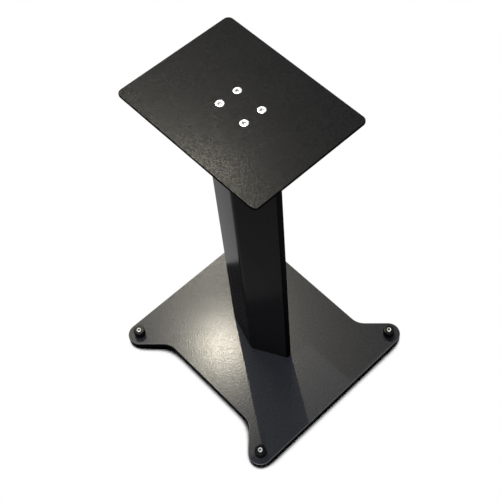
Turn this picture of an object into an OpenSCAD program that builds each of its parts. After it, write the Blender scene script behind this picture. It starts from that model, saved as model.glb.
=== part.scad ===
// Speaker stand: a slim extruded column between a small top plate and a wide base plate on four spikes.
// The front faces -Y, X runs across the stand, Z is up, and the spike tips touch Z = 0.
// Left and right are as seen from the front, so left is -X. All sizes are in millimetres.

/* [Stand] */
// Height from the floor to the face that carries the speaker
stand_height = 600; // [450:5:800]
// Gap between the floor and the underside of the base plate
floor_gap = 9; // [9:0.5:20]

/* [Top plate] */
// Width of the top plate, from side to side
top_width = 180; // [140:1:260]
// Depth of the top plate, from front to back
top_depth = 240; // [180:1:340]
// Thickness of the top plate
top_thickness = 3; // [3:0.5:8]
// Radius of the top plate's corners
top_corner_radius = 8; // [2:0.5:30]

/* [Base plate] */
// Thickness of the base plate
base_thickness = 10; // [5:0.5:12]
// Distance between neighbouring spikes, the same both ways
spike_pitch = 296; // [280:1:360]
// Radius of the ear round each spike
ear_radius = 19.5; // [14:0.5:26]
// Width of the base plate between its two drawn-in sides
waist_width = 250; // [200:1:264]
// Radius where an ear runs into a drawn-in side
waist_radius = 30; // [5:1:50]

/* [Column] */
// Depth of the column, from its narrow front to its back
column_depth = 120; // [110:1:150]
// Width of the narrow front of the column
nose_width = 8; // [7:0.5:12]
// Width between the column's two side edges, before they are rounded
belly_width = 68; // [64:1:90]
// Distance of the side edges from the front of the column
belly_setback = 56; // [50:1:62]
// Width of the back of the column
back_width = 27; // [26:0.5:34]
// Outer radius of the column's side edges
belly_radius = 12; // [6:0.5:16]
// Thickness of the column's outer wall
column_wall = 3; // [2:0.25:4]
// Thickness of the ribs inside the column
rib_thickness = 2.5; // [1.5:0.25:4]

/* [Plate screws] */
// Thread diameter of the countersunk screws
screw_diameter = 6; // [5:0.5:6]
// Diameter of the countersunk heads
screw_head_diameter = 11.7; // [10:0.1:11.8]
// Length of the screws, head included
screw_length = 20; // [14:1:30]
// Width across the flats of the hexagon sockets in the heads
screw_socket = 4; // [2.5:0.5:4]
// Distance between screws from side to side
screw_spacing_x = 28; // [24:0.5:32]
// Distance between screws from front to back
screw_spacing_y = 42; // [36:0.5:48]
// Outer diameter of the screw ports inside the column
port_diameter = 10; // [9:0.5:11]

/* [Front strip] */
// Thickness of the part of the front strip that shows
strip_cap = 1.5; // [1:0.25:2.5]
// Depth of the groove that holds the strip
strip_groove_depth = 6; // [4:0.5:7]
// Width of the groove's mouth
strip_groove_width = 2.5; // [2:0.25:3]
// Width of the wider pocket at the bottom of the groove
strip_pocket_width = 4; // [3.25:0.25:5]

/* [Cable channel] */
// Depth of the cable channel behind the column's back
channel_depth = 20; // [14:0.5:24]
// Width of the slot in the column's back
channel_mouth = 16; // [10:0.5:17]
// Width of the cover that closes the slot
cover_width = 21; // [19:0.5:22]
// Thickness of the cover, and depth of its seat
cover_thickness = 2; // [1.5:0.25:3]
// Thickness of the two lips that the cover clips onto
lip_thickness = 2.5; // [2:0.25:4]
// Thickness of the cover's clip legs
clip_leg = 1.2; // [1:0.1:2]
// How far a clip's catch stands out from its leg
clip_catch = 0.8; // [0.5:0.1:1.2]
// Length of slot left open at each end of the cover, for the cable
cable_gap = 35; // [15:1:60]

/* [Spikes and lock nuts] */
// Thread diameter of the spikes
spike_diameter = 8; // [6:0.5:10]
// Height of a spike's end above the base plate
spike_rise = 14.5; // [14:0.5:20]
// Length of the spike's point
spike_point = 8; // [6:0.5:8.5]
// Diameter of the small flat on the tip of the point
spike_tip = 1; // [0.5:0.1:2]
// Width across the flats of the hexagon socket in the spike's end
spike_socket = 4; // [2.5:0.5:4]
// Largest diameter of the fluted lock nut
nut_diameter = 18.5; // [17:0.5:24]
// Height of the lock nut
nut_height = 14; // [8:0.5:14]
// Diameter of the nut's flat top, inside its chamfer
nut_top_diameter = 16.5; // [14:0.5:16.5]
// Number of flutes round the lock nut
nut_flutes = 18; // [12:1:24]
// Radius of each flute
flute_radius = 0.9; // [0.3:0.1:1]

/* [Clearances] */
// Radial gap between a thread and the hole it turns in
thread_clearance = 0.05; // [0.02:0.01:0.09]
// Gap round a screw where it passes through a plate
plate_clearance = 0.15; // [0.1:0.05:0.3]
// Gap between a push-in strip and its groove
strip_clearance = 0.15; // [0.1:0.05:0.3]
// Depth of a screw head below the face of its plate
head_recess = 0.1; // [0.05:0.05:0.3]

/* [Hidden] */
$fn = 96;

// How far a cutting shape runs past the face it cuts
overcut = 1;
// Edge break on turned parts
edge_break = 0.5;

// Heights of the faces that meet
base_bottom = floor_gap;
base_top = base_bottom + base_thickness;
column_top = stand_height - top_thickness;
column_length = column_top - base_top;

// Lines across the column's section, along Y
column_front = -column_depth / 2;
column_back = column_depth / 2;
strip_seat = column_front + strip_cap;
groove_bottom = strip_seat + strip_groove_depth;
cavity_front = groove_bottom + rib_thickness;
channel_floor = column_back - channel_depth;
cavity_back = channel_floor - rib_thickness;
cover_seat = column_back - cover_thickness;
lip_back = cover_seat - lip_thickness;
pocket_depth = strip_groove_depth / 3;

// Turned and drilled sizes
screw_radius = screw_diameter / 2;
screw_head_height = (screw_head_diameter - screw_diameter) / 2;
screw_socket_depth = screw_head_height * 0.8;
screw_tip_taper = screw_diameter / 6;
spike_radius = spike_diameter / 2;
spike_length = base_top + spike_rise;
spike_socket_depth = spike_socket;
plate_steel = "#26272a";
column_black = "#1d1d1f";
bright_zinc = "#c9cbcc";

// The corners of the column's section, from the front right round to the front left
column_corners = [
    [nose_width / 2, column_front],
    [belly_width / 2, column_front + belly_setback],
    [back_width / 2, column_back],
    [-back_width / 2, column_back],
    [-belly_width / 2, column_front + belly_setback],
    [-nose_width / 2, column_front]
];

// Unit vector from one point towards another
function towards(from, to) = (to - from) / norm(to - from);

// The point where two edges meet once both have moved inwards by a distance
function inner_corner(before, corner, after, distance) =
    let (
        u = towards(before, corner),
        v = towards(corner, after),
        sine = u.x * v.y - u.y * v.x
    )
    corner + (v - u) * distance / sine;

// A polygon, listed anticlockwise, with all its edges moved inwards by a distance
function inset(points, distance) = [
    for (i = [0:len(points) - 1])
        inner_corner(
            points[(i + len(points) - 1) % len(points)],
            points[i],
            points[(i + 1) % len(points)],
            distance
        )
];

// Half the width of the column's section at a place along Y, between its flat sides
function half_width_at(y) =
    let (
        front = column_corners[0],
        belly = column_corners[1],
        back = column_corners[2]
    )
    y < belly.y
        ? front.x + (belly.x - front.x) * (y - front.y) / (belly.y - front.y)
        : belly.x + (back.x - belly.x) * (y - belly.y) / (back.y - belly.y);

// The points of a right half, followed by their mirror images back to the start
function both_sides(half) = concat(
    half,
    [for (i = [len(half) - 1:-1:0]) [-half[i].x, half[i].y]]
);

// The triangle at a corner that a round edge of the given radius cuts off or fills in
function corner_triangle(before, corner, after, radius) =
    let (
        to_before = towards(corner, before),
        to_after = towards(corner, after),
        half_angle = acos(to_before * to_after) / 2,
        reach = radius / tan(half_angle)
    )
    [corner, corner + to_before * reach, corner + to_after * reach];

// The centre of the round edge at a corner
function corner_centre(before, corner, after, radius) =
    let (
        to_before = towards(corner, before),
        to_after = towards(corner, after),
        half_angle = acos(to_before * to_after) / 2
    )
    corner + towards([0, 0], to_before + to_after) * radius / sin(half_angle);

// Rounds the outward corner of the flat shape it is given
module round_corner(before, corner, after, radius) {
    difference() {
        children();
        polygon(corner_triangle(before, corner, after, radius));
    }
    translate(corner_centre(before, corner, after, radius))
        circle(radius);
}

// Repeats a shape at the four corners of a rectangle
module at_corners(spacing_x, spacing_y) {
    for (x = [-1, 1] * spacing_x / 2, y = [-1, 1] * spacing_y / 2)
        translate([x, y])
            children();
}

// A rectangle with round corners
module round_rectangle(width, depth, radius) {
    square([width - 2 * radius, depth], center = true);
    square([width, depth - 2 * radius], center = true);
    at_corners(width - 2 * radius, depth - 2 * radius)
        circle(radius);
}

// A countersunk screw that points down, with the face of its head at Z = 0
module countersunk_screw() {
    difference() {
        rotate_extrude()
            polygon([
                [0, 0],
                [screw_head_diameter / 2, 0],
                [screw_radius, -screw_head_height],
                [screw_radius, screw_tip_taper - screw_length],
                [screw_radius - screw_tip_taper, -screw_length],
                [0, -screw_length]
            ]);
        translate([0, 0, -screw_socket_depth])
            cylinder(d = screw_socket / cos(30), h = screw_socket_depth + overcut, $fn = 6);
    }
}

// The hole for a countersunk screw in a plate whose face is at Z = 0
module countersunk_hole(thickness) {
    sink_radius = screw_head_diameter / 2 + plate_clearance;
    hole_radius = screw_radius + plate_clearance;
    sink_depth = screw_head_height + head_recess;
    rotate_extrude()
        polygon([
            [0, overcut],
            [sink_radius, overcut],
            [sink_radius, -head_recess],
            [hole_radius, -sink_depth],
            [hole_radius, -thickness - overcut],
            [0, -thickness - overcut]
        ]);
}

// The plan of the base plate: straight front and back, drawn-in sides, and an ear at each spike
module base_outline() {
    spike = spike_pitch / 2;
    edge = spike + ear_radius;
    slant = ear_radius * sin(45);
    leave = [spike + slant, spike - slant];
    waist = [waist_width / 2, leave.y - (leave.x - waist_width / 2)];
    quarter = [[0, 0], [waist.x, 0], waist, leave, [spike, spike], [spike, edge], [0, edge]];
    middle = [waist.x, 0];
    for (turn_x = [0, 1], turn_y = [0, 1])
        mirror([turn_x, 0])
            mirror([0, turn_y]) {
                polygon(quarter);
                translate([spike, spike])
                    circle(ear_radius);
                difference() {
                    polygon(corner_triangle(middle, waist, leave, waist_radius));
                    translate(corner_centre(middle, waist, leave, waist_radius))
                        circle(waist_radius);
                }
            }
}

// The outside of the column's section, with its side edges rounded
module column_outline(distance, radius) {
    corners = inset(column_corners, distance);
    round_corner(corners[0], corners[1], corners[2], radius)
        round_corner(corners[3], corners[4], corners[5], radius)
            polygon(corners);
}

// A band across the column's section between two places along Y
module band(from, to) {
    translate([-belly_width, from])
        square([2 * belly_width, to - from]);
}

// Ribs and screw ports that stiffen the inside of the column
module column_ribs() {
    for (side = [-1, 1]) {
        translate([0, side * screw_spacing_y / 2])
            square([2 * belly_width, rib_thickness], center = true);
        translate([side * screw_spacing_x / 2, 0])
            square([rib_thickness, screw_spacing_y], center = true);
    }
    at_corners(screw_spacing_x, screw_spacing_y)
        circle(d = port_diameter);
}

// The hollow of the column in front of the cable channel
module column_cavity() {
    difference() {
        intersection() {
            column_outline(column_wall, belly_radius - column_wall);
            band(cavity_front, cavity_back);
        }
        column_ribs();
    }
}

// The cable channel: its hollow, its slot, and the seat of its cover
module cable_channel() {
    intersection() {
        column_outline(column_wall, belly_radius - column_wall);
        band(channel_floor, lip_back);
    }
    translate([-channel_mouth / 2, channel_floor])
        square([channel_mouth, channel_depth + overcut]);
    seat_width = cover_width + 2 * strip_clearance;
    translate([-seat_width / 2, cover_seat])
        square([seat_width, cover_thickness + overcut]);
}

// The groove that holds the front strip
module strip_groove() {
    translate([-strip_groove_width / 2, strip_seat - overcut])
        square([strip_groove_width, strip_groove_depth + overcut]);
    translate([-strip_pocket_width / 2, groove_bottom - pocket_depth])
        square([strip_pocket_width, pocket_depth]);
}

// A countersunk screw at each corner of the screw pattern, its face at Z = 0
module screw_set() {
    at_corners(screw_spacing_x, screw_spacing_y)
        countersunk_screw();
}

// Steel plate that the speaker stands on
module top_plate() {
    color(plate_steel)
        difference() {
            translate([0, 0, column_top])
                linear_extrude(top_thickness)
                    round_rectangle(top_width, top_depth, top_corner_radius);
            translate([0, 0, stand_height])
                at_corners(screw_spacing_x, screw_spacing_y)
                    countersunk_hole(top_thickness);
        }
}

// Four screws that hold the top plate to the column
module top_plate_screws() {
    color(bright_zinc)
        translate([0, 0, stand_height - head_recess])
            screw_set();
}

// Extruded column with screw ports, ribs, a strip groove in front and a cable channel behind
module column() {
    color(column_black)
        translate([0, 0, base_top])
            linear_extrude(column_length)
                difference() {
                    column_outline(0, belly_radius);
                    band(column_front - overcut, strip_seat);
                    column_cavity();
                    cable_channel();
                    strip_groove();
                    at_corners(screw_spacing_x, screw_spacing_y)
                        circle(screw_radius + thread_clearance);
                }
}

// Black strip pushed into the groove along the front of the column
module front_strip() {
    stem_width = strip_groove_width - 2 * strip_clearance;
    barb_width = strip_pocket_width - 2 * strip_clearance;
    barb_front = groove_bottom - pocket_depth + strip_clearance;
    barb_back = groove_bottom - strip_clearance;
    cap_half = half_width_at(strip_seat);
    color("#0b0b0c")
        translate([0, 0, base_top])
            linear_extrude(column_length)
                polygon(both_sides([
                    [nose_width / 2, column_front],
                    [cap_half, strip_seat],
                    [stem_width / 2, strip_seat],
                    [stem_width / 2, barb_front],
                    [barb_width / 2, barb_front],
                    [stem_width / 2, barb_back]
                ]));
}

// Cover that clips over the cable channel's slot
module rear_cable_cover() {
    leg_outer = channel_mouth / 2 - strip_clearance;
    catch_back = lip_back - strip_clearance;
    catch_tip = catch_back - clip_leg;
    color(column_black)
        translate([0, 0, base_top + cable_gap])
            linear_extrude(column_length - 2 * cable_gap)
                polygon(both_sides([
                    [leg_outer - clip_leg, cover_seat],
                    [leg_outer - clip_leg, catch_tip],
                    [leg_outer, catch_tip],
                    [leg_outer + clip_catch, catch_back],
                    [leg_outer, catch_back],
                    [leg_outer, cover_seat],
                    [cover_width / 2, cover_seat],
                    [cover_width / 2, column_back]
                ]));
}

// Steel plate on the floor side, with a tapped hole for a spike in each ear
module base_plate() {
    color(plate_steel)
        difference() {
            translate([0, 0, base_bottom])
                linear_extrude(base_thickness)
                    base_outline();
            translate([0, 0, base_bottom - overcut])
                at_corners(spike_pitch, spike_pitch)
                    cylinder(r = spike_radius + thread_clearance, h = base_thickness + 2 * overcut);
            translate([0, 0, base_bottom])
                mirror([0, 0, 1])
                    at_corners(screw_spacing_x, screw_spacing_y)
                        countersunk_hole(base_thickness);
        }
}

// Four screws that hold the base plate to the column, from below
module base_plate_screws() {
    color(bright_zinc)
        translate([0, 0, base_bottom + head_recess])
            mirror([0, 0, 1])
                screw_set();
}

// A spike at one ear: a threaded rod with a point below and a hexagon socket in its upper end
module spike(side_x, side_y) {
    color(bright_zinc)
        translate([side_x, side_y] * spike_pitch / 2)
            difference() {
                rotate_extrude()
                    polygon([
                        [0, 0],
                        [spike_tip / 2, 0],
                        [spike_radius, spike_point],
                        [spike_radius, spike_length - edge_break],
                        [spike_radius - edge_break, spike_length],
                        [0, spike_length]
                    ]);
                translate([0, 0, spike_length - spike_socket_depth])
                    cylinder(d = spike_socket / cos(30), h = spike_socket_depth + overcut, $fn = 6);
            }
}

// The lock nut at one ear: a fluted round nut with a chamfered top
module lock_nut(side_x, side_y) {
    outer = nut_diameter / 2;
    top_chamfer = outer - nut_top_diameter / 2;
    color("#0e0e10")
        translate([side_x * spike_pitch / 2, side_y * spike_pitch / 2, base_top])
            difference() {
                rotate_extrude()
                    polygon([
                        [spike_radius + thread_clearance, 0],
                        [outer - edge_break, 0],
                        [outer, edge_break],
                        [outer, nut_height - top_chamfer],
                        [outer - top_chamfer, nut_height],
                        [spike_radius + thread_clearance, nut_height]
                    ]);
                for (flute = [1:nut_flutes])
                    rotate(flute * 360 / nut_flutes)
                        translate([outer, 0, -overcut])
                            cylinder(r = flute_radius, h = nut_height + 2 * overcut, $fn = 24);
            }
}

module spike_front_left() { spike(-1, -1); }
module spike_front_right() { spike(1, -1); }
module spike_rear_left() { spike(-1, 1); }
module spike_rear_right() { spike(1, 1); }
module lock_nut_front_left() { lock_nut(-1, -1); }
module lock_nut_front_right() { lock_nut(1, -1); }
module lock_nut_rear_left() { lock_nut(-1, 1); }
module lock_nut_rear_right() { lock_nut(1, 1); }

top_plate();
top_plate_screws();
column();
front_strip();
rear_cable_cover();
base_plate();
base_plate_screws();
spike_front_left();
spike_front_right();
spike_rear_left();
spike_rear_right();
lock_nut_front_left();
lock_nut_front_right();
lock_nut_rear_left();
lock_nut_rear_right();
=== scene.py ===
"""A speaker stand in black, dressed for a studio photograph.

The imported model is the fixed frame: it gives every size and place. The plates, the column, its strip
and its cable cover are shown as copies of their solids with eased edges. The screws, spikes and lock
nuts are turned parts, lofted ring by ring and then threaded, fluted and set out by Geometry Nodes.
Lengths are in metres, apart from fields whose names end in _mm.
"""

from __future__ import annotations

import logging
import math
from collections.abc import Callable, Mapping, Sequence
from dataclasses import dataclass, field, replace
from enum import Enum
from typing import Any

import bmesh
import bpy
from mathutils import Matrix, Vector


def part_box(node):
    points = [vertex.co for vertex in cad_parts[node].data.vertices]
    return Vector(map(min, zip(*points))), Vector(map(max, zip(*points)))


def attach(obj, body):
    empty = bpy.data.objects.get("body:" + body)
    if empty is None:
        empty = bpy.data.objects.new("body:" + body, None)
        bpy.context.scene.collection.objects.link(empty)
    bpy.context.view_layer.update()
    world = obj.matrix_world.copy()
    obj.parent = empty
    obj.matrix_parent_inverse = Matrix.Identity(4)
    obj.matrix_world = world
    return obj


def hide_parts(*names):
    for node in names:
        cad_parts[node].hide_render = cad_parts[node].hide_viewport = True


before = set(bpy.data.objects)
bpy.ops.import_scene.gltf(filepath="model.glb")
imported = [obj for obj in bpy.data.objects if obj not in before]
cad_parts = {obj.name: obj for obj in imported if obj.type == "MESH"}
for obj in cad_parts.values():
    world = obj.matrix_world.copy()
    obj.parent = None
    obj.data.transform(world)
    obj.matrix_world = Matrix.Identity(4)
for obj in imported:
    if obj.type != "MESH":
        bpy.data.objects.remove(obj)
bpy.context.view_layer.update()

MM = 0.001
FIXED_BODY = "frame"
log = logging.getLogger("speaker_stand")

Colour = tuple[float, float, float, float]
Point = tuple[float, float, float]
# Radius and height of one point on a turned part's profile
Spot = tuple[float, float]
# The distance from the axis at each angle
Radius = Callable[[float], float]
# Height and outline of one ring of a turned part
Ring = tuple[float, Radius]
# What feeds a node's input: an output socket, or a node by its first output
Feed = bpy.types.Node | bpy.types.NodeSocket

# Nearly all values of a noise lie between these: the grain's one octave, and the mottle's several.
GRAIN_LOW = 0.35
GRAIN_HIGH = 0.65
MOTTLE_LOW = 0.3
MOTTLE_HIGH = 0.7

# A face counts as a wall if the upward part of its normal is less than this.
WALL_TILT = 0.3
# Faces of a turned part that meet at less than this are shaded as one.
TURNED_SHARP_ANGLE = math.radians(38)
# How far the rim of a hexagon socket is eased, and the radius that a drill leaves at its bottom, as
# a share of the socket's width
SOCKET_EASE = 0.2 * MM
DRILLED_SHARE = 0.25
# A metric thread's crests and roots are flat, each for this share of the pitch.
THREAD_FLAT = 0.125
# Keeps a point on the axis from being divided by nothing
LEAST_DISTANCE = 0.0001 * MM

MATH = "ShaderNodeMath"
VECTOR_MATH = "ShaderNodeVectorMath"
MAP_RANGE = "ShaderNodeMapRange"


def linear_colour(hex_code: str) -> Colour:
    """Turns an sRGB hex value into a linear colour.

    Args:
        hex_code: Six hex digits, such as "1b1c1e".

    Returns:
        Red, green and blue in linear light, and an alpha of 1.
    """
    channels = [int(hex_code[i : i + 2], 16) / 255 for i in (0, 2, 4)]
    linear = [c / 12.92 if c <= 0.04045 else ((c + 0.055) / 1.055) ** 2.4 for c in channels]
    return (linear[0], linear[1], linear[2], 1.0)


def add_node(
    tree: bpy.types.NodeTree,
    kind: str,
    inputs: Mapping[str | int, Any] | Sequence[Any] = (),
    **settings: Any,
) -> bpy.types.Node:
    """Adds a node to a shader or geometry tree, sets it and links it.

    Args:
        tree: The tree that the node goes into.
        kind: Blender's name for the type of node.
        inputs: What the input sockets take, by name or number or in their order: a value, an output
            socket, or a node whose first output is meant.
        **settings: Properties of the node itself.

    Returns:
        The new node.
    """
    node = tree.nodes.new(kind)
    for name, value in settings.items():
        setattr(node, name, value)
    given = inputs if isinstance(inputs, Mapping) else dict(enumerate(inputs))
    for key, value in given.items():
        if isinstance(value, bpy.types.Node):
            value = value.outputs[0]
        if isinstance(value, bpy.types.NodeSocket):
            tree.links.new(value, node.inputs[key])
        else:
            node.inputs[key].default_value = value
    return node


def emptied_tree(owner: bpy.types.Material | bpy.types.World) -> bpy.types.NodeTree:
    """Switches on the nodes of a material or a world, and clears them.

    Args:
        owner: The new material or world.

    Returns:
        Its node tree, with nothing in it.
    """
    owner.use_nodes = True
    owner.node_tree.nodes.clear()
    return owner.node_tree


class Slot(Enum):
    """The record's material slots."""

    PLATE = "plate_coat"
    COLUMN = "column_coat"
    STRIP = "black_strip"
    COVER = "cover_plastic"
    ZINC = "bright_zinc"
    NUT = "nut_black"


class Corner(Enum):
    """The four corners of the base plate, as seen from the front."""

    FRONT_LEFT = "front_left"
    FRONT_RIGHT = "front_right"
    REAR_LEFT = "rear_left"
    REAR_RIGHT = "rear_right"


@dataclass(frozen=True)
class Finish:
    """A finish of one surface, from which a material is made.

    The mottle is a slow change, as a coat's thickness and handling leave it. It moves the roughness
    by roughness_spread, and the colour by the share tint_spread. The grain is a raised texture. On
    its tops the colour is lighter by the share grain_tint, and the gloss of the coat stronger by the
    share coat_spread. In its dips they are darker and weaker by as much.
    """

    name: str
    colour: str
    roughness: float
    grain_mm: float
    grain_height_mm: float
    grain_tint: float = 0.05
    mottle_mm: float = 35.0
    tint_spread: float = 0.06
    roughness_spread: float = 0.012
    metallic: float = 0.0
    ior: float = 1.5
    coat_weight: float = 0.0
    coat_roughness: float = 0.1
    coat_spread: float = 0.0

    def mottle(self, tree: bpy.types.NodeTree, place: Feed) -> bpy.types.Node:
        """Makes the slow change from place to place.

        Args:
            tree: The material's tree.
            place: Where on the object a point is.

        Returns:
            The node that gives it, from 0 to 1.
        """
        scale = 1 / (self.mottle_mm * MM)
        settings = {"Vector": place, "Scale": scale, "Detail": 4.0, "Roughness": 0.6}
        return add_node(tree, "ShaderNodeTexNoise", settings)

    def grain(self, tree: bpy.types.NodeTree, place: Feed) -> bpy.types.Node:
        """Makes the height of the grain, in grains of one size.

        Args:
            tree: The material's tree.
            place: Where on the object a point is.

        Returns:
            The node that gives it, from 0 to 1.
        """
        scale = 1 / (self.grain_mm * MM)
        return add_node(tree, "ShaderNodeTexNoise", {"Vector": place, "Scale": scale, "Detail": 0.0})

    def by_grain(
        self, tree: bpy.types.NodeTree, grain: bpy.types.Node, middle: float, spread: float
    ) -> bpy.types.Node:
        """Makes a value that is higher on the grain's tops than in its dips.

        Args:
            tree: The material's tree.
            grain: The grain's height.
            middle: The value half way up.
            spread: The share of it by which the value rises and falls.

        Returns:
            The node that gives the value.
        """
        return add_node(
            tree,
            MAP_RANGE,
            {
                "Value": grain,
                "From Min": GRAIN_LOW,
                "From Max": GRAIN_HIGH,
                "To Min": middle * (1 - spread),
                "To Max": middle * (1 + spread),
            },
        )

    def tinted(
        self, tree: bpy.types.NodeTree, mottle: bpy.types.Node, grain: bpy.types.Node
    ) -> bpy.types.Node:
        """Makes the finish's colour, lighter and darker with the mottle and the grain.

        Args:
            tree: The material's tree.
            mottle: The slow change.
            grain: The grain's height.

        Returns:
            The node that gives the colour.
        """
        by_mottle = add_node(
            tree,
            MAP_RANGE,
            {"Value": mottle, "To Min": 1 - self.tint_spread, "To Max": 1 + self.tint_spread},
        )
        by_grain = self.by_grain(tree, grain, 1.0, self.grain_tint)
        share = add_node(tree, MATH, (by_mottle, by_grain), operation="MULTIPLY")
        base = linear_colour(self.colour)[:3]
        return add_node(tree, VECTOR_MATH, {0: base, "Scale": share}, operation="SCALE")

    def material(self) -> bpy.types.Material:
        """Makes the material.

        Returns:
            A node material named for the finish.
        """
        made = bpy.data.materials.new(self.name)
        tree = emptied_tree(made)
        place = add_node(tree, "ShaderNodeTexCoord").outputs["Object"]
        mottle = self.mottle(tree, place)
        grain = self.grain(tree, place)
        relief = {"Height": grain, "Distance": self.grain_height_mm * MM, "Strength": 1.0}
        bump = add_node(tree, "ShaderNodeBump", relief)
        rough = add_node(
            tree,
            MAP_RANGE,
            {
                "Value": mottle,
                "From Min": MOTTLE_LOW,
                "From Max": MOTTLE_HIGH,
                "To Min": self.roughness - self.roughness_spread,
                "To Max": self.roughness + self.roughness_spread,
            },
        )
        shader = add_node(
            tree,
            "ShaderNodeBsdfPrincipled",
            {
                "Base Color": self.tinted(tree, mottle, grain),
                "Roughness": rough,
                "Metallic": self.metallic,
                "IOR": self.ior,
                "Coat Weight": self.coat_weight,
                "Coat Roughness": self.coat_roughness,
                "Normal": bump,
                "Coat Normal": bump,
            },
        )
        if self.coat_spread:
            weight = self.by_grain(tree, grain, self.coat_weight, self.coat_spread)
            tree.links.new(weight.outputs[0], shader.inputs["Coat Weight"])
        add_node(tree, "ShaderNodeOutputMaterial", {"Surface": shader})
        return made


@dataclass(frozen=True)
class SocketShadedFinish(Finish):
    """A finish of screws, whose sockets are painted darker inside as shade: the attribute
    "socket_shade" is 1 in there.
    """

    # The share of the colour that is left in a socket, where it is painted darker as shade
    socket_shade_share: float = 0.95

    def tinted(
        self, tree: bpy.types.NodeTree, mottle: bpy.types.Node, grain: bpy.types.Node
    ) -> bpy.types.Node:
        """Makes the finish's colour, with painted shade that darkens it in the sockets.

        Args:
            tree: The material's tree.
            mottle: The slow change.
            grain: The grain's height.

        Returns:
            The node that gives the colour.
        """
        socket_shade = add_node(tree, "ShaderNodeAttribute", attribute_name="socket_shade").outputs["Fac"]
        share = add_node(tree, MAP_RANGE, {"Value": socket_shade, "To Min": 1.0, "To Max": self.socket_shade_share})
        plain = super().tinted(tree, mottle, grain)
        return add_node(tree, VECTOR_MATH, {0: plain, "Scale": share}, operation="SCALE")


@dataclass(frozen=True)
class BrushedFinish(Finish):
    """A finish whose grain runs along Z, as an extrusion's die lines do."""

    line_length_mm: float = 120.0

    def grain(self, tree: bpy.types.NodeTree, place: Feed) -> bpy.types.Node:
        """Makes the height of lines that are long in Z and narrow across it.

        Args:
            tree: The material's tree.
            place: Where on the object a point is.

        Returns:
            The node that gives it, from 0 to 1.
        """
        stretch = (1.0, 1.0, self.grain_mm / self.line_length_mm)
        stretched = add_node(tree, "ShaderNodeMapping", {"Vector": place, "Scale": stretch})
        return super().grain(tree, stretched)


# Polyester powder coat on steel plate, sprayed and baked: a fine raised orange-peel over a nearly
# black pigment. It breaks a lamp's glint up into sparkling grains. The real grain is under 1 mm wide
# and would not show, so it is drawn as coarse as it needs to be.
POWDER_COAT = Finish(
    name="powder_coated_steel",
    colour="0d0e10",
    roughness=0.275,
    grain_mm=1.8,
    grain_height_mm=0.034,
    grain_tint=0.19,
    ior=1.132,
    coat_weight=0.078,
    coat_roughness=0.135,
    coat_spread=0.75,
)

# The same coat on the base plate, drawn greyer than on the top plate: this lighter colour is painted
# light, which lifts the shade around the column's foot. The plate is further from the camera, so its
# grain is drawn coarser still.
BASE_COAT = replace(
    POWDER_COAT,
    name="powder_coated_steel_base_painted_fill",
    colour="2c2d31",
    grain_mm=2.4,
    grain_height_mm=0.045,
    grain_tint=0.13,
    ior=1.168,
    coat_weight=0.147,
    coat_roughness=0.142,
    coat_spread=0.48,
)

# The plates' cut sides, where the coat lies thin over the rough cut: matt. Their near-black colour is
# painted shade, as dark as these sides look in shadow.
SIDE_SHADE_COAT = Finish(
    name="powder_coated_cut_side_painted_shade",
    colour="020202",
    roughness=0.6,
    grain_mm=POWDER_COAT.grain_mm,
    grain_height_mm=POWDER_COAT.grain_height_mm,
    ior=1.04,
)

# The base plate's eased rim between face and side, where the melted powder drew back smooth and shiny.
# Its light grey colour is a painted highlight, which draws a thin light line.
RIM_HIGHLIGHT_COAT = replace(
    SIDE_SHADE_COAT,
    name="powder_coated_rim_painted_highlight",
    colour="444548",
    roughness=0.3,
    ior=1.45,
    coat_weight=POWDER_COAT.coat_weight,
    coat_roughness=POWDER_COAT.coat_roughness,
)

# Aluminium extrusion with a smooth sprayed black coat: glossier than the plates, with faint lines
# along its length from the die. Real die lines are finer and would not show, so these are drawn as
# coarse as they need to be.
COLUMN_COAT = BrushedFinish(
    name="sprayed_aluminium_extrusion",
    colour="151516",
    roughness=0.16,
    grain_mm=1.6,
    grain_height_mm=0.002,
    ior=1.055,
)

# Extruded flexible PVC, matt and a deeper black than the coat beside it.
STRIP_PLASTIC = BrushedFinish(
    name="extruded_black_pvc",
    colour="020202",
    roughness=0.6,
    grain_mm=1.2,
    grain_height_mm=0.01,
    ior=1.05,
)

# Extruded ABS, satin, with such lines along its length too.
COVER_PLASTIC = BrushedFinish(
    name="extruded_black_abs",
    colour="0c0c0d",
    roughness=0.35,
    grain_mm=1.2,
    grain_height_mm=0.008,
)

# Bright zinc plate on turned steel: a white metal with soft reflections and slight clouding.
# Its sockets are painted a little darker inside as shade.
BRIGHT_ZINC = SocketShadedFinish(
    name="bright_zinc_plated_steel",
    colour="b2b5b8",
    roughness=0.24,
    grain_mm=0.5,
    grain_height_mm=0.002,
    metallic=1.0,
)

# The spikes' zinc is duller: their ends are cut, not pressed. Their deep sockets are painted much
# darker inside as shade.
SPIKE_ZINC = replace(
    BRIGHT_ZINC, name="zinc_plated_spike_steel", colour="a8a9a6", roughness=0.42, socket_shade_share=0.2
)

# Black zinc on turned steel: a dark, slightly glossy skin that still looks like metal at its edges.
BLACK_ZINC = Finish(
    name="black_zinc_plated_steel",
    colour="060607",
    roughness=0.28,
    grain_mm=0.5,
    grain_height_mm=0.004,
    ior=1.18,
)


def new_object(name: str, data: Any) -> bpy.types.Object:
    """Puts a mesh, a lamp or a camera into the scene.

    Args:
        name: The object's name.
        data: The mesh, lamp or camera.

    Returns:
        An object at the origin.
    """
    made = bpy.data.objects.new(name, data)
    bpy.context.scene.collection.objects.link(made)
    return made


def shade(mesh: bpy.types.Mesh, sharp_angle: float) -> None:
    """Shades a mesh smooth, with a crease where faces meet at more than an angle."""
    mesh.shade_smooth()
    mesh.set_sharp_from_angle(angle=sharp_angle)


def seat(piece: bpy.types.Object, node: str, body: str) -> bpy.types.Object:
    """Lets a finished piece ride on its body and stand for its node.

    Args:
        piece: The piece.
        node: The node that it replaces.
        body: The body that it moves with.

    Returns:
        The same piece.
    """
    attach(piece, body)
    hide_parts(node)
    log.info("%s: %d faces", piece.name, len(piece.data.polygons))
    return piece


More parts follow.
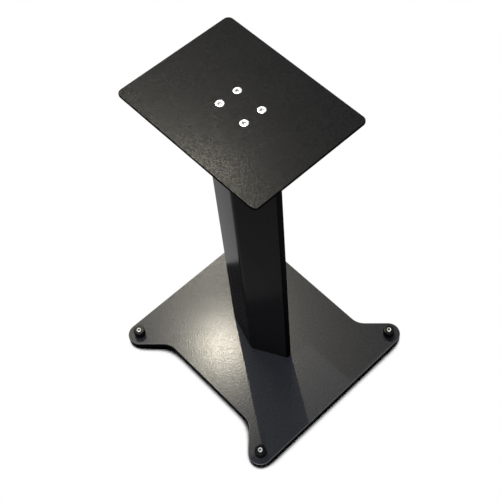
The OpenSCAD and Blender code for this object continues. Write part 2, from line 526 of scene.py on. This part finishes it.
def outer_wall(solid: bmesh.types.BMesh) -> set[bmesh.types.BMFace]:
    """Finds the upright faces that run round the outside of a plate, as against those of its holes.

    Args:
        solid: The plate, lying flat.

    Returns:
        The faces of the wall that reaches furthest.
    """
    upright = {face for face in solid.faces if abs(face.normal.z) < WALL_TILT}
    walls: list[set[bmesh.types.BMFace]] = []
    while upright:
        wall = set()
        waiting = [upright.pop()]
        while waiting:
            face = waiting.pop()
            wall.add(face)
            beside = {other for edge in face.edges for other in edge.link_faces} & upright
            upright -= beside
            waiting += beside
        walls.append(wall)
    return max(walls, key=lambda wall: max(vert.co.x for face in wall for vert in face.verts))


@dataclass
class EasedPart:
    """A rigid part shown as a copy of its solid, with its sharp edges eased.

    A plate also has finishes for its walls and for its eased edge: the walls' near-black is painted
    shade, and the base plate's light rim a painted highlight. Only its upper outline is eased, and its
    other edges stay as they are cut.
    """

    node: str
    slot: Slot
    finish: bpy.types.Material
    edge_radius_mm: float
    edge_finishes: tuple[bpy.types.Material, ...] = ()
    ease_segments: int = 3
    weld_distance: float = 0.002 * MM
    flat_angle: float = math.radians(0.2)
    sharp_angle: float = math.radians(24)

    def mesh(self) -> bpy.types.Mesh:
        """Copies the solid's loose triangles, joins them up and clears lines across flat faces.

        Returns:
            A closed mesh with smooth curved walls.
        """
        solid = bmesh.new()
        solid.from_mesh(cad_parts[self.node].data)
        bmesh.ops.remove_doubles(solid, verts=solid.verts, dist=self.weld_distance)
        bmesh.ops.dissolve_limit(
            solid, angle_limit=self.flat_angle, verts=solid.verts, edges=solid.edges
        )
        if self.edge_finishes:
            self.mark_edges(solid)
        made = bpy.data.meshes.new(self.node + "_eased")
        solid.to_mesh(made)
        solid.free()
        for finish in (self.finish, *self.edge_finishes):
            made.materials.append(finish)
        shade(made, self.sharp_angle)
        return made

    def mark_edges(self, solid: bmesh.types.BMesh) -> None:
        """Gives a plate's walls their finish, and marks its upper outline for easing.

        Args:
            solid: The plate, lying flat.
        """
        weight = solid.edges.layers.float.new("bevel_weight_edge")
        outside = outer_wall(solid)
        top = max(vert.co.z for vert in solid.verts) - self.weld_distance
        # Walls take the second finish, whose near-black colour is painted shade.
        for face in solid.faces:
            face.material_index = int(abs(face.normal.z) < WALL_TILT)
        for edge in solid.edges:
            if outside & set(edge.link_faces) and all(vert.co.z > top for vert in edge.verts):
                edge[weight] = 1.0

    def build(self) -> bpy.types.Object:
        """Makes the piece and lets it stand for its node.

        Returns:
            The piece, with its bevel still live.
        """
        piece = new_object(self.node + "_dressed", self.mesh())
        ease = piece.modifiers.new("eased edges", "BEVEL")
        ease.width = self.edge_radius_mm * MM
        ease.segments = self.ease_segments
        ease.limit_method = "WEIGHT" if self.edge_finishes else "ANGLE"
        ease.angle_limit = self.sharp_angle
        ease.use_clamp_overlap = not self.edge_finishes
        ease.harden_normals = True
        # A plate's eased edge takes the last finish. Another part has only one.
        ease.material = len(self.edge_finishes) or -1
        return seat(piece, self.node, FIXED_BODY)


def round_ring(radius: float) -> Radius:
    """Returns a circle as a radius for each angle."""
    return lambda angle: radius


def hexagon_ring(across_flats: float) -> Radius:
    """Returns a hexagon as a radius for each angle."""
    sector = math.radians(60)
    return lambda angle: across_flats / 2 / math.cos((angle % sector) - sector / 2)


def hexagon_socket(face: float, across_flats: float, depth: float, cone: float) -> list[Ring]:
    """Sinks a hexagon socket into the upper face of a turned part.

    Args:
        face: The height of the face.
        across_flats: The socket's width.
        depth: How deep its flats go.
        cone: How much deeper the drilled cone at its bottom goes.

    Returns:
        The last four rings of the part's profile, from the socket's rim to its bottom.
    """
    return [
        (face, round_ring(across_flats / math.sqrt(3) + SOCKET_EASE)),
        (face - SOCKET_EASE, hexagon_ring(across_flats)),
        (face - depth, hexagon_ring(across_flats)),
        (face - depth - cone, round_ring(across_flats * DRILLED_SHARE)),
    ]


def loft(name: str, rings: Sequence[Ring], sides: int, shaded_socket_rings: int = 0) -> bpy.types.Mesh:
    """Skins a row of rings about the Z axis, from the lowest outside to the last one inside.

    Args:
        name: The mesh's name.
        rings: The height and outline of each ring, in order along the profile.
        sides: How many points each ring has.
        shaded_socket_rings: How many of the last rings lie inside a socket, where "socket_shade" is 1
            and the colour is painted darker as shade.

    Returns:
        A mesh that is closed at both ends with a point on the axis.
    """
    skin = bmesh.new()
    # Rings inside a socket are marked for painted shade: the attribute is 1 there.
    socket_shade = skin.verts.layers.float.new("socket_shade")
    angles = [2 * math.pi * k / sides for k in range(sides)]
    loops = [
        [skin.verts.new((outline(a) * math.cos(a), outline(a) * math.sin(a), z)) for a in angles]
        for z, outline in rings
    ]
    for loop in loops[len(loops) - shaded_socket_rings :]:
        for vert in loop:
            vert[socket_shade] = 1.0
    for lower, upper in zip(loops, loops[1:]):
        for k in range(sides):
            after = (k + 1) % sides
            skin.faces.new((lower[k], lower[after], upper[after], upper[k]))
    for loop, z in ((loops[0], rings[0][0]), (loops[-1], rings[-1][0])):
        tip = skin.verts.new((0.0, 0.0, z))
        tip[socket_shade] = loop[0][socket_shade]
        for k in range(sides):
            skin.faces.new((loop[k], loop[(k + 1) % sides], tip))
    bmesh.ops.recalc_face_normals(skin, faces=skin.faces)
    made = bpy.data.meshes.new(name)
    skin.to_mesh(made)
    skin.free()
    shade(made, TURNED_SHARP_ANGLE)
    return made


def rounded_corner(corner: Spot, before: Spot, after: Spot, size: float) -> list[Spot]:
    """Eases one corner of a turned profile.

    Args:
        corner: The corner.
        before: The profile's point before it.
        after: The profile's point after it.
        size: How far from the corner the easing starts.

    Returns:
        Three points that take the corner's place.
    """
    at = Vector(corner)
    start = at + (Vector(before) - at).normalized() * size
    end = at + (Vector(after) - at).normalized() * size
    middle = (start + end + 2 * at) / 4
    return [tuple(start), tuple(middle), tuple(end)]


class NodeSet:
    """A geometry tree under construction, with named inputs."""

    def __init__(self, name: str, numbers: Sequence[str]) -> None:
        """Starts a tree that takes a geometry, its numbers, a place and a material.

        Args:
            name: The tree's name.
            numbers: The name of each number that the tree takes.
        """
        self.tree = bpy.data.node_groups.new(name, "GeometryNodeTree")
        inputs = {"Geometry": "Geometry"}
        inputs |= {label: "Float" for label in numbers}
        inputs |= {"Place": "Vector", "Material": "Material"}
        sockets = self.tree.interface
        for label, kind in inputs.items():
            sockets.new_socket(label, in_out="INPUT", socket_type="NodeSocket" + kind)
        sockets.new_socket("Geometry", in_out="OUTPUT", socket_type="NodeSocketGeometry")
        self.given = self.tree.nodes.new("NodeGroupInput").outputs

    def add(
        self, kind: str, inputs: Mapping[str | int, Any] | Sequence[Any] = (), **settings: Any
    ) -> bpy.types.Node:
        """Adds a node to the tree."""
        return add_node(self.tree, kind, inputs, **settings)

    def close(self, geometry: bpy.types.Node) -> bpy.types.NodeTree:
        """Ends the tree in real geometry at its place, which carries the material.

        Args:
            geometry: The node that gives the finished shape.

        Returns:
            The whole tree.
        """
        shift = {"Geometry": geometry, "Translation": self.given["Place"]}
        moved = self.add("GeometryNodeTransform", shift)
        real = self.add("GeometryNodeRealizeInstances", (moved,))
        finish = {"Geometry": real, "Material": self.given["Material"]}
        dressed = self.add("GeometryNodeSetMaterial", finish)
        self.add("NodeGroupOutput", (dressed,))
        return self.tree


class TurnedNodes(NodeSet):
    """A geometry tree that cuts into the wall of a turned part, by moving points towards its axis."""

    def __init__(self, name: str, numbers: Sequence[str]) -> None:
        """Starts the tree, and reads each point's height, its angle about Z and its distance from it.

        Args:
            name: The tree's name.
            numbers: The name of each number that the tree takes.
        """
        super().__init__(name, numbers)
        self.place = self.add("GeometryNodeInputPosition")
        x, y, self.height = self.add("ShaderNodeSeparateXYZ", (self.place,)).outputs
        self.angle = self.add(MATH, (y, x), operation="ARCTAN2")
        x_squared = self.add(MATH, (x, x), operation="MULTIPLY")
        squares = self.add(MATH, (y, y, x_squared), operation="MULTIPLY_ADD")
        self.distance = self.add(MATH, (squares,), operation="SQRT")

    def cut_to(self, radius: bpy.types.Node) -> bpy.types.NodeTree:
        """Moves each point that lies further out than a radius straight in to it, and ends the tree.

        Args:
            radius: The node that gives the radius at each point.

        Returns:
            The whole tree.
        """
        kept = self.add(MATH, (self.distance, radius), operation="MINIMUM")
        old = self.add(MATH, (self.distance, LEAST_DISTANCE), operation="MAXIMUM")
        share = self.add(MATH, (kept, old), operation="DIVIDE")
        scale = self.add("ShaderNodeCombineXYZ", (share, share, 1.0))
        target = self.add(VECTOR_MATH, (self.place, scale), operation="MULTIPLY")
        moved = {"Geometry": self.given["Geometry"], "Position": target}
        return self.close(self.add("GeometryNodeSetPosition", moved))


def run_tree(
    name: str, tree: bpy.types.NodeTree, mesh: bpy.types.Mesh, inputs: Mapping[str, Any]
) -> bpy.types.Object:
    """Runs a geometry tree on a mesh and keeps the result as a plain object.

    Args:
        name: The new object's name.
        tree: The tree to run.
        mesh: The mesh that goes into its Geometry input.
        inputs: The value of each named input.

    Returns:
        An object at the origin whose mesh is the result.
    """
    worker = new_object(name + "_raw", mesh)
    modifier = worker.modifiers.new(tree.name, "NODES")
    modifier.node_group = tree
    for item in tree.interface.items_tree:
        if item.item_type == "SOCKET" and item.in_out == "INPUT" and item.name in inputs:
            modifier[item.identifier] = inputs[item.name]
    depsgraph = bpy.context.evaluated_depsgraph_get()
    result = bpy.data.meshes.new_from_object(worker.evaluated_get(depsgraph), depsgraph=depsgraph)
    worker.modifiers.remove(modifier)
    bpy.data.objects.remove(worker)
    result.name = name
    return new_object(name, result)


def pattern_tree() -> bpy.types.NodeTree:
    """Sets a part out at the four corners of a rectangle, each copy turned by chance.

    Returns:
        A tree that takes the rectangle's two sides and the seed of the chance.
    """
    nodes = NodeSet("four_corner_pattern", ("Spacing X", "Spacing Y", "Seed"))
    given = nodes.given
    grid = nodes.add(
        "GeometryNodeMeshGrid",
        {"Size X": given["Spacing X"], "Size Y": given["Spacing Y"], "Vertices X": 2, "Vertices Y": 2},
    )
    turn = nodes.add(
        "FunctionNodeRandomValue",
        {0: (0.0, 0.0, 0.0), 1: (0.0, 0.0, 2 * math.pi), "Seed": given["Seed"]},
        data_type="FLOAT_VECTOR",
    )
    copies = {"Points": grid, "Instance": given["Geometry"], "Rotation": turn}
    return nodes.close(nodes.add("GeometryNodeInstanceOnPoints", copies))


def thread_tree() -> bpy.types.NodeTree:
    """Cuts a screw thread into the wall of a turned part, from a height upwards.

    Returns:
        A tree that takes the thread's pitch, depth and outer radius, and the height of its start.
    """
    nodes = TurnedNodes("cut_thread", ("Pitch", "Depth", "Major Radius", "Bottom"))
    given = nodes.given
    risen = nodes.add(MATH, (nodes.height, given["Pitch"]), operation="DIVIDE")
    turned = nodes.add(MATH, (nodes.angle, 2 * math.pi), operation="DIVIDE")
    turns = nodes.add(MATH, (risen, turned), operation="SUBTRACT")
    phase = nodes.add(MATH, (turns,), operation="FRACT")
    centred = nodes.add(MATH, (phase, 2.0, -1.0), operation="MULTIPLY_ADD")
    slope = nodes.add(MATH, (centred,), operation="ABSOLUTE")
    flank = nodes.add(MAP_RANGE, {"Value": slope, "From Min": THREAD_FLAT, "From Max": 1 - THREAD_FLAT})
    full_depth = nodes.add(MATH, (given["Bottom"], given["Pitch"]), operation="ADD")
    run_in = nodes.add(
        MAP_RANGE, {"Value": nodes.height, "From Min": given["Bottom"], "From Max": full_depth}
    )
    share = nodes.add(MATH, (flank, run_in), operation="MULTIPLY")
    cut = nodes.add(MATH, (share, given["Depth"]), operation="MULTIPLY")
    return nodes.cut_to(nodes.add(MATH, (given["Major Radius"], cut), operation="SUBTRACT"))


def flute_tree() -> bpy.types.NodeTree:
    """Cuts round flutes along the rim of a turned part.

    Returns:
        A tree that takes the number of flutes, their radius and the radius of the rim.
    """
    nodes = TurnedNodes("cut_flutes", ("Flutes", "Flute Radius", "Rim Radius"))
    given = nodes.given
    sector = nodes.add(MATH, (2 * math.pi, given["Flutes"]), operation="DIVIDE")
    passed = nodes.add(MATH, (nodes.angle, sector), operation="DIVIDE")
    nearest = nodes.add(MATH, (passed,), operation="ROUND")
    middle = nodes.add(MATH, (nearest, sector), operation="MULTIPLY")
    offset = nodes.add(MATH, (nodes.angle, middle), operation="SUBTRACT")
    sine = nodes.add(MATH, (offset,), operation="SINE")
    cosine = nodes.add(MATH, (offset,), operation="COSINE")
    across = nodes.add(MATH, (given["Rim Radius"], sine), operation="MULTIPLY")
    outwards = nodes.add(MATH, (given["Rim Radius"], cosine), operation="MULTIPLY")
    # A flute is part of a circle about a point on the rim, and its chord gives the cut's depth.
    flute_squared = nodes.add(
        MATH, (given["Flute Radius"], given["Flute Radius"]), operation="MULTIPLY"
    )
    across_squared = nodes.add(MATH, (across, across), operation="MULTIPLY")
    left = nodes.add(MATH, (flute_squared, across_squared), operation="SUBTRACT")
    inside = nodes.add(MATH, (left, 0.0), operation="GREATER_THAN")
    positive = nodes.add(MATH, (left, 0.0), operation="MAXIMUM")
    chord = nodes.add(MATH, (positive,), operation="SQRT")
    wall = nodes.add(MATH, (outwards, chord), operation="SUBTRACT")
    limit = nodes.add(
        "GeometryNodeSwitch",
        {"Switch": inside, "False": given["Rim Radius"], "True": wall},
        input_type="FLOAT",
    )
    return nodes.cut_to(limit)


@dataclass
class ScrewSet:
    """Four countersunk screws in a rectangle, their heads a little below the plate's face."""

    node: str
    facing: int
    finish: bpy.types.Material
    tree: bpy.types.NodeTree
    head_diameter: float = 11.0 * MM
    sunk: float = 0.4 * MM
    thread_diameter: float = 6 * MM
    tip_taper: float = 1 * MM
    socket: float = 4 * MM
    socket_depth_share: float = 0.8
    socket_cone: float = 0.2 * MM
    spacing_x: float = 28 * MM
    spacing_y: float = 42 * MM
    edge_break: float = 0.2 * MM
    sides: int = 60
    seed: float = 5.0

    def screw(self, length: float) -> bpy.types.Mesh:
        """Lofts one screw, with the plate's face at Z = 0.

        Args:
            length: How far the screw reaches below that face.

        Returns:
            The screw's mesh, pointing down if it faces up, and the other way round.
        """
        head = self.head_diameter / 2
        shank = self.thread_diameter / 2
        head_height = head - shank
        profile: list[Ring] = [
            (-length, round_ring(shank - self.tip_taper)),
            (self.tip_taper - length, round_ring(shank)),
            (-head_height, round_ring(shank)),
        ]
        rim = rounded_corner((head, 0.0), (shank, -head_height), (0.0, 0.0), self.edge_break)
        profile += [(z, round_ring(r)) for r, z in rim]
        depth = head_height * self.socket_depth_share
        profile += hexagon_socket(0.0, self.socket, depth, self.socket_cone)
        facing = [(max(z - self.sunk, -length) * self.facing, outline) for z, outline in profile]
        return loft(self.node + "_one", facing, self.sides, shaded_socket_rings=2)

    def build(self) -> bpy.types.Object:
        """Makes the four screws and lets them stand for their node.

        Returns:
            One piece with the four screws.
        """
        low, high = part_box(self.node)
        face = high.z if self.facing > 0 else low.z
        piece = run_tree(
            self.node + "_dressed",
            self.tree,
            self.screw(high.z - low.z),
            {
                "Spacing X": self.spacing_x,
                "Spacing Y": self.spacing_y,
                "Seed": self.seed,
                "Place": (0.0, 0.0, face),
                "Material": self.finish,
            },
        )
        return seat(piece, self.node, FIXED_BODY)


@dataclass
class Foot:
    """A threaded spike and the fluted nut that locks it, at one corner of the base plate."""

    corner: Corner
    spike_finish: bpy.types.Material
    nut_finish: bpy.types.Material
    threads: bpy.types.NodeTree
    flutes: bpy.types.NodeTree
    pitch: float = 1.25 * MM
    thread_depth: float = 0.7 * MM
    rings_per_turn: int = 12
    spike_sides: int = 48
    point: float = 8 * MM
    tip_radius: float = 0.5 * MM
    tip_flat: float = 0.3 * MM
    tip_rise: float = 0.15 * MM
    end_chamfer: float = 0.8 * MM
    socket: float = 4 * MM
    socket_depth: float = 4 * MM
    socket_cone: float = 0.6 * MM
    bore_gap: float = 0.05 * MM
    bore_chamfer: float = 0.3 * MM
    flute_count: int = 18
    flute_radius: float = 0.9 * MM
    points_per_flute: int = 12
    wall_steps: int = 6
    bottom_chamfer: float = 0.5 * MM
    top_chamfer: float = 1 * MM
    top_ease: float = 0.15 * MM

    def measure(self, node: str) -> tuple[float, float, Point]:
        """Reads a turned node's sizes off its box.

        Args:
            node: The node.

        Returns:
            Its radius, its height, and the foot of its axis.
        """
        low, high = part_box(node)
        middle = (low + high) / 2
        return (high.x - low.x) / 2, high.z - low.z, (middle.x, middle.y, low.z)

    def spike(self) -> bpy.types.Object:
        """Lofts the spike, cuts its thread and lets it stand for its node.

        Returns:
            The spike.
        """
        node = "spike_" + self.corner.value
        radius, length, place = self.measure(node)
        shank = length - self.end_chamfer - self.point
        steps = math.ceil(shank / self.pitch * self.rings_per_turn)
        profile: list[Ring] = [
            (0.0, round_ring(self.tip_flat)),
            (self.tip_rise, round_ring(self.tip_radius)),
            *((self.point + shank * step / steps, round_ring(radius)) for step in range(steps + 1)),
            (length, round_ring(radius - self.end_chamfer)),
            *hexagon_socket(length, self.socket, self.socket_depth, self.socket_cone),
        ]
        piece = run_tree(
            node + "_dressed",
            self.threads,
            loft(node + "_blank", profile, self.spike_sides, shaded_socket_rings=2),
            {
                "Pitch": self.pitch,
                "Depth": self.thread_depth,
                "Major Radius": radius,
                "Bottom": self.point,
                "Place": place,
                "Material": self.spike_finish,
            },
        )
        return seat(piece, node, self.corner.value + "_spike")

    def nut(self) -> bpy.types.Object:
        """Lofts the lock nut, cuts its flutes and lets it stand for its node.

        Returns:
            The nut.
        """
        node = "lock_nut_" + self.corner.value
        rim, height, place = self.measure(node)
        bore = self.measure("spike_" + self.corner.value)[0] + self.bore_gap
        wall = height - self.top_chamfer - self.bottom_chamfer
        shoulder = (rim, height - self.top_chamfer)
        top_outer = (rim - self.top_chamfer, height)
        profile: list[Spot] = [(rim - self.bottom_chamfer, 0.0), (rim, self.bottom_chamfer)]
        for step in range(1, self.wall_steps):
            profile.append((rim, self.bottom_chamfer + wall * step / self.wall_steps))
        profile += rounded_corner(shoulder, profile[-1], top_outer, self.top_ease)
        profile += rounded_corner(top_outer, shoulder, (bore, height), self.top_ease)
        profile += [(bore + self.bore_chamfer, height), (bore, height - self.bore_chamfer), (bore, 0.0)]
        piece = run_tree(
            node + "_dressed",
            self.flutes,
            self.tube(node + "_blank", [(z, round_ring(r)) for r, z in profile]),
            {
                "Flutes": float(self.flute_count),
                "Flute Radius": self.flute_radius,
                "Rim Radius": rim,
                "Place": place,
                "Material": self.nut_finish,
            },
        )
        return seat(piece, node, self.corner.value + "_nut")

    def tube(self, name: str, wall: Sequence[Ring]) -> bpy.types.Mesh:
        """Lofts a ring-shaped part, whose profile goes up its outside and down its bore.

        Args:
            name: The mesh's name.
            wall: The height and outline of each ring.

        Returns:
            A closed mesh with a hole through it.
        """
        made = loft(name, wall, self.flute_count * self.points_per_flute)
        skin = bmesh.new()
        skin.from_mesh(made)
        tips = [vert for vert in skin.verts if vert.co.xy.length < self.bore_gap]
        bmesh.ops.delete(skin, geom=tips, context="VERTS")
        open_edges = [edge for edge in skin.edges if edge.is_boundary]
        bmesh.ops.bridge_loops(skin, edges=open_edges)
        bmesh.ops.recalc_face_normals(skin, faces=skin.faces)
        skin.to_mesh(made)
        skin.free()
        shade(made, TURNED_SHARP_ANGLE)
        return made

    def build(self) -> list[bpy.types.Object]:
        """Makes the spike and its nut."""
        return [self.spike(), self.nut()]


@dataclass(frozen=True)
class Lamp:
    """One lamp of the studio, with a flat rectangular face that looks at a point.

    The level is what it adds to the brightness of a white sheet that faces it at that point, where 1
    is white.
    """

    name: str
    place: Point
    target: Point
    width: float
    height: float
    level: float
    colour: str
    along: Point = (1.0, 0.0, 0.0)

    def build(self) -> bpy.types.Object:
        """Sets the lamp up, out of the camera's own sight.

        Returns:
            The lamp.
        """
        light = bpy.data.lights.new(self.name, "AREA")
        light.shape = "RECTANGLE"
        light.size = self.width
        light.size_y = self.height
        light.color = linear_colour(self.colour)[:3]
        direction = Vector(self.place) - Vector(self.target)
        # A flat lamp sends out its watts / pi straight ahead, and a white sheet sends on 1 / pi of
        # what falls on it.
        light.energy = self.level * math.pi**2 * direction.length_squared
        back = direction.normalized()
        up = back.cross(Vector(self.along)).normalized()
        made = new_object(self.name, light)
        made.matrix_world = Matrix.LocRotScale(
            Vector(self.place), Matrix((up.cross(back), up, back)).transposed(), None
        )
        made.visible_camera = False
        return made


WARM_WHITE = "fff8e4"
COOL_WHITE = "f4f7ff"
# The middle of the glow on the base plate, left of the column
GLOW: Point = (-0.065, 0.035, 0.019)

LAMPS = (
    # High and far behind the stand on its right: its glint lies on the base plate, left of the column.
    Lamp(
        name="key_lamp",
        place=(1.875, 3.096, 7.151),
        target=GLOW,
        width=0.05,
        height=0.05,
        level=0.247,
        colour=WARM_WHITE,
    ),
    # A long window beside it, which draws the glint out into a broad glow.
    Lamp(
        name="window",
        place=(1.47, 4.888, 6.191),
        target=GLOW,
        width=3.78,
        height=0.3,
        level=0.369,
        colour=WARM_WHITE,
        along=(-2.277, 3.226, -0.765),
    ),
    # High on the left and small: the top plate's edge shows as a faint line on the base plate.
    Lamp(
        name="side_lamp",
        place=(-0.54, 0.036, 2.6),
        target=(0.0, 0.0, 0.019),
        width=0.02,
        height=0.02,
        level=0.45,
        colour=COOL_WHITE,
    ),
    # Low in front on the left, under the level of the top plate: it opens the shadows.
    Lamp(
        name="low_fill",
        place=(-0.75, -1.0, 0.58),
        target=(0.0, 0.0, 0.1),
        width=0.5,
        height=0.4,
        level=0.37,
        colour=COOL_WHITE,
    ),
)


@dataclass
class Studio:
    """The camera, the floor and the lights.

    The camera was fitted to the photograph: it stands at the stand's front left and looks down at it,
    and the picture is cut from the left part of its view, which is what the shift is for. The floor
    shows black where less than contact_dark of the air above it within contact_reach is open, white
    where more than contact_clear is, and grey between.
    """

    camera_place: Point = (-0.4527, -0.5770, 1.4454)
    camera_azimuth: float = -45.11
    camera_elevation: float = 57.92
    lens_mm: float = 68.1
    sensor_mm: float = 36.0
    shift_x: float = -0.1346
    floor_radius: float = 8.0
    floor_sides: int = 96
    floor_colour: str = "e6e6e6"
    contact_reach: float = 0.03
    contact_dark: float = 0.57
    contact_clear: float = 0.65
    contact_samples: int = 28
    sky_colour: str = COOL_WHITE
    sky_level: float = 0.15
    white: Colour = (1.0, 1.0, 1.0, 1.0)
    lamps: tuple[Lamp, ...] = LAMPS

    def camera(self) -> bpy.types.Object:
        """Sets up the camera at the photograph's viewpoint.

        Returns:
            The camera.
        """
        lens = bpy.data.cameras.new("photo_camera")
        lens.lens = self.lens_mm
        lens.sensor_width = self.sensor_mm
        lens.shift_x = self.shift_x
        azimuth = math.radians(self.camera_azimuth)
        elevation = math.radians(self.camera_elevation)
        level = math.cos(elevation)
        back = Vector((math.sin(azimuth) * level, -math.cos(azimuth) * level, math.sin(elevation)))
        made = new_object("photo_camera", lens)
        made.location = self.camera_place
        made.rotation_mode = "QUATERNION"
        made.rotation_quaternion = (-back).to_track_quat("-Z", "Y")
        bpy.context.scene.camera = made
        return made

    def seen_directly(self, tree: bpy.types.NodeTree) -> bpy.types.Node:
        """Tells rays that show a thing from those that only carry light to another.

        Args:
            tree: The tree that asks.

        Returns:
            A node that gives 1 for a ray from the camera or off a glossy or clear surface, else 0.
        """
        path = add_node(tree, "ShaderNodeLightPath").outputs
        shiny = (path["Is Glossy Ray"], path["Is Transmission Ray"])
        off_surface = add_node(tree, MATH, shiny, operation="MAXIMUM")
        return add_node(tree, MATH, (path["Is Camera Ray"], off_surface), operation="MAXIMUM")

    def sky(self) -> None:
        """Lights the scene evenly from all round, and shows white behind it."""
        world = bpy.data.worlds.new("studio_surround")
        tree = emptied_tree(world)
        sky = {"Color": linear_colour(self.sky_colour), "Strength": self.sky_level}
        light = add_node(tree, "ShaderNodeBackground", sky)
        white = add_node(tree, "ShaderNodeBackground", {"Color": self.white, "Strength": 1.0})
        mixed = add_node(tree, "ShaderNodeMixShader", (self.seen_directly(tree), light, white))
        add_node(tree, "ShaderNodeOutputWorld", {"Surface": mixed})
        bpy.context.scene.world = world

    def floor(self) -> bpy.types.Object:
        """Lays a pale floor, which shows white but for the soft dark line where the stand covers it.

        Returns:
            The floor.
        """
        sheet = bmesh.new()
        bmesh.ops.create_circle(
            sheet, cap_ends=True, segments=self.floor_sides, radius=self.floor_radius
        )
        mesh = bpy.data.meshes.new("studio_floor")
        sheet.to_mesh(mesh)
        sheet.free()
        mesh.materials.append(self.paper())
        made = new_object("studio_floor", mesh)
        return made

    def paper(self) -> bpy.types.Material:
        """Makes the floor's material, white paper on a sweep.

        Returns:
            A material that is pale paper to the light, and white with a contact shade to the camera.
        """
        material = bpy.data.materials.new("white_paper_sweep")
        tree = emptied_tree(material)
        paper = add_node(tree, "ShaderNodeBsdfDiffuse", {"Color": linear_colour(self.floor_colour)})
        cover = add_node(
            tree,
            "ShaderNodeAmbientOcclusion",
            {"Distance": self.contact_reach},
            samples=self.contact_samples,
        ).outputs["AO"]
        shade_range = {"Value": cover, "From Min": self.contact_dark, "From Max": self.contact_clear}
        shaded = add_node(tree, MAP_RANGE, shade_range)
        glow = add_node(tree, "ShaderNodeEmission", {"Color": self.white, "Strength": shaded})
        mixed = add_node(tree, "ShaderNodeMixShader", (self.seen_directly(tree), paper, glow))
        add_node(tree, "ShaderNodeOutputMaterial", {"Surface": mixed})
        return material

    def build(self) -> None:
        """Sets up everything that isn't the stand."""
        bpy.context.scene.view_settings.view_transform = "Standard"
        self.camera()
        self.sky()
        self.floor()
        for lamp in self.lamps:
            lamp.build()


@dataclass
class SpeakerStand:
    """The whole stand: its plates and column, its screws and its four feet."""

    base_edge_mm: float = 0.85
    top_edge_mm: float = 0.7
    column_edge_mm: float = 0.3
    trim_edge_mm: float = 0.25
    pieces: list[bpy.types.Object] = field(default_factory=list)

    def frame_parts(self) -> list[EasedPart]:
        """Lists the rigid parts that are shown as eased copies of their solids.

        Returns:
            The base plate, the column with its trim, and the top plate.
        """
        # The walls' finish is painted shade, and the base plate's rim finish a painted highlight.
        side = SIDE_SHADE_COAT.material()
        rim = RIM_HIGHLIGHT_COAT.material()
        return [
            EasedPart("base_plate", Slot.PLATE, BASE_COAT.material(), self.base_edge_mm, (side, rim)),
            EasedPart("column", Slot.COLUMN, COLUMN_COAT.material(), self.column_edge_mm),
            EasedPart("front_strip", Slot.STRIP, STRIP_PLASTIC.material(), self.trim_edge_mm),
            EasedPart("rear_cable_cover", Slot.COVER, COVER_PLASTIC.material(), self.trim_edge_mm),
            EasedPart("top_plate", Slot.PLATE, POWDER_COAT.material(), self.top_edge_mm, (side, side)),
        ]

    def build(self) -> None:
        """Makes every piece, from the base plate up to the screws and the feet."""
        for part in self.frame_parts():
            self.pieces.append(part.build())
        zinc = BRIGHT_ZINC.material()
        pattern = pattern_tree()
        self.pieces.append(ScrewSet("top_plate_screws", 1, zinc, pattern).build())
        self.pieces.append(ScrewSet("base_plate_screws", -1, zinc, pattern).build())
        spike_zinc = SPIKE_ZINC.material()
        nut_coat = BLACK_ZINC.material()
        threads = thread_tree()
        flutes = flute_tree()
        for corner in Corner:
            self.pieces += Foot(corner, spike_zinc, nut_coat, threads, flutes).build()


def main() -> None:
    """Builds the studio and the stand."""
    logging.basicConfig(level=logging.INFO, format="%(name)s: %(message)s")
    Studio().build()
    stand = SpeakerStand()
    stand.build()
    log.info("%d pieces", len(stand.pieces))


if __name__ == "__main__":
    main()
